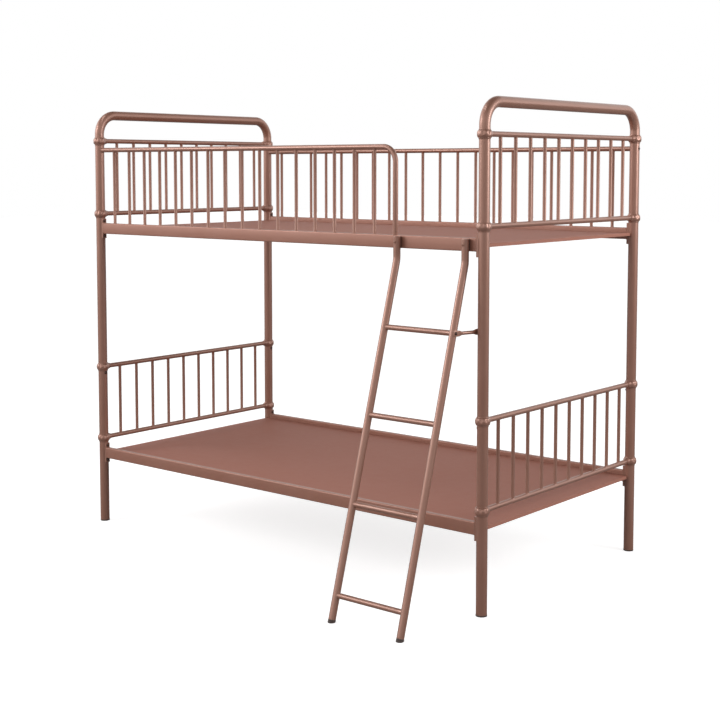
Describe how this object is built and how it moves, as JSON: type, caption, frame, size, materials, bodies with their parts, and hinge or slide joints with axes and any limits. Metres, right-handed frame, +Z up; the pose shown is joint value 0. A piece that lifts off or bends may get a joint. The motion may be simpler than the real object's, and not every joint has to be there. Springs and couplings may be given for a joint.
{
  "type": "bunk bed with ladder",
  "caption": "Metal bunk bed with arched tube ends, spindle panels and guards, solid flat decks and a leaning ladder bolted to the front.",
  "frame": {"origin": "middle of the floor area that the bed and its ladder cover, at floor height", "axes": "+X along the bed towards the end with the ladder, +Y across the bed away from the ladder, +Z up"},
  "size_m": [1.995, 1.4249, 1.7361],
  "materials": {
    "frame_paint": "satin powder coat, rose brown",
    "ladder_paint": "satin powder coat, rose brown",
    "casting_paint": "satin powder coat over cast metal",
    "bearer_paint": "satin powder coat",
    "deck_paint": "painted board, low sheen",
    "bolt_finish": "bolts coated to match the frame",
    "bare_steel": "zinc plated",
    "dark_plastic": "moulded plastic"
  },
  "bodies": {
    "root": {"left_upper_hoop": "frame_paint", "right_upper_hoop": "frame_paint", "left_upper_top_rail": "frame_paint", "left_upper_low_rail": "frame_paint", "right_upper_top_rail": "frame_paint", "right_upper_low_rail": "frame_paint", "left_lower_top_rail": "frame_paint", "left_lower_low_rail": "frame_paint", "right_lower_top_rail": "frame_paint", "right_lower_low_rail": "frame_paint", "left_upper_spindles": "frame_paint", "right_upper_spindles": "frame_paint", "left_lower_spindles": "frame_paint", "right_lower_spindles": "frame_paint", "left_front_lower_post": "frame_paint", "left_back_lower_post": "frame_paint", "right_front_lower_post": "frame_paint", "right_back_lower_post": "frame_paint", "left_upper_knuckles": "casting_paint", "right_upper_knuckles": "casting_paint", "left_lower_knuckles": "casting_paint", "right_lower_knuckles": "casting_paint", "upper_front_side_rail": "frame_paint", "upper_back_side_rail": "frame_paint", "lower_front_side_rail": "frame_paint", "lower_back_side_rail": "frame_paint", "rail_end_plates": "frame_paint", "rail_bolts": "bolt_finish", "rail_weld_nuts": "bare_steel", "connector_sleeves": "bare_steel", "connector_bolts": "bolt_finish", "post_glides": "dark_plastic", "upper_deck": "deck_paint", "lower_deck": "deck_paint", "upper_bearers": "bearer_paint", "lower_bearers": "bearer_paint", "upper_support_angles": "bearer_paint", "lower_support_angles": "bearer_paint", "front_guard_rail": "frame_paint", "front_guard_spindles": "frame_paint", "back_guard_rail": "frame_paint", "back_guard_spindles": "frame_paint", "guard_end_plugs": "bare_steel", "guard_bolts": "bolt_finish", "left_ladder_rail": "ladder_paint", "right_ladder_rail": "ladder_paint", "first_rung": "ladder_paint", "second_rung": "ladder_paint", "third_rung": "ladder_paint", "fourth_rung": "ladder_paint", "ladder_stay": "ladder_paint", "stay_bolts": "bolt_finish", "ladder_saddles": "dark_plastic", "ladder_bolts": "bolt_finish", "ladder_inserts": "bare_steel", "ladder_feet": "dark_plastic"}
  },
  "joints": []
}
